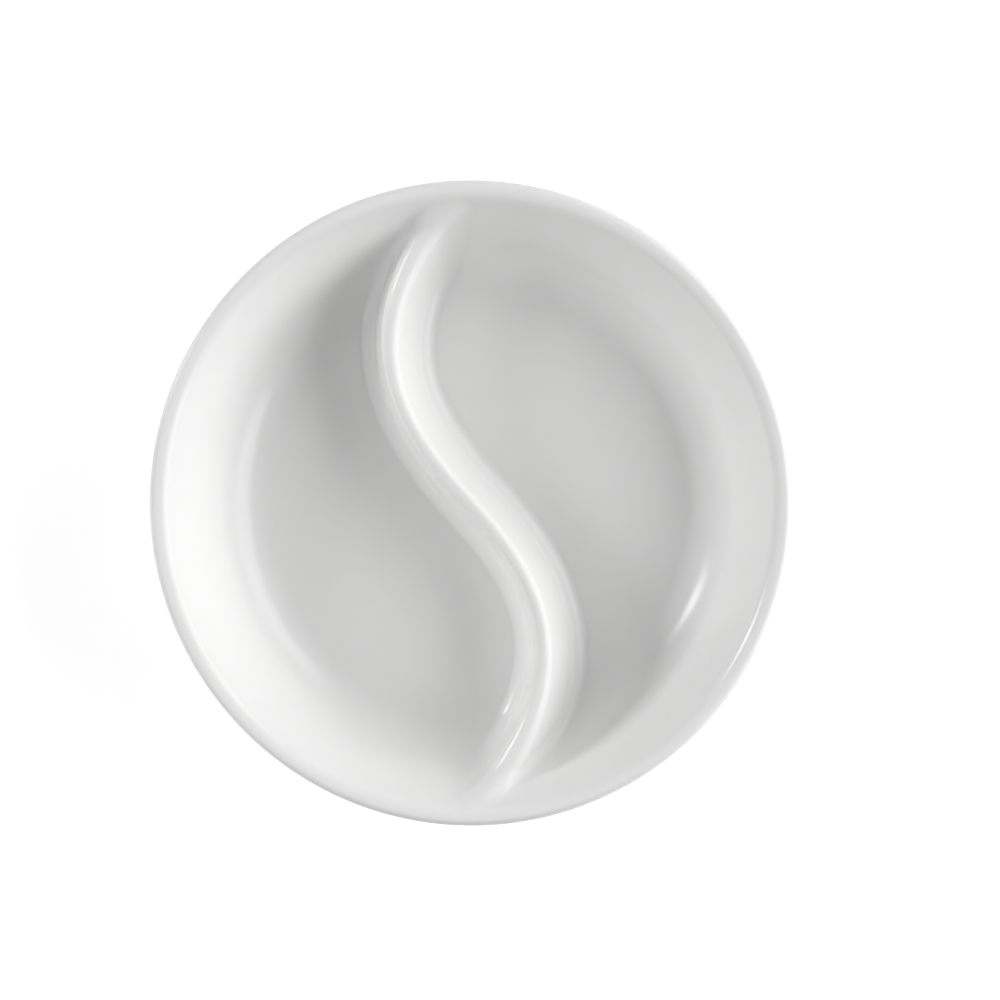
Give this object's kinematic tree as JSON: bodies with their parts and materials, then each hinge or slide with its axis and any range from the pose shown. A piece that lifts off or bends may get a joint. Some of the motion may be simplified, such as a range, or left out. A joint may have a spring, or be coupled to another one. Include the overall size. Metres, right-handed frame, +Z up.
{
  "type": "divided dish",
  "caption": "Round glazed porcelain dish with a coved wall and rounded lip, parted by an S-shaped divider into teardrop compartments, standing on a bare foot ring.",
  "frame": {"origin": "middle of the foot ring's underside, on the table", "axes": "+Z up out of the dish, +Y to the back along the line between the divider's ends, +X to the right"},
  "size_m": [0.152, 0.152, 0.036],
  "materials": {
    "glaze": "clear gloss glaze over white porcelain",
    "foot": "bare fired porcelain, ground flat underneath"
  },
  "bodies": {
    "root": {"dish_shell": "glaze", "s_divider": "glaze", "foot_ring": "foot"}
  },
  "joints": []
}
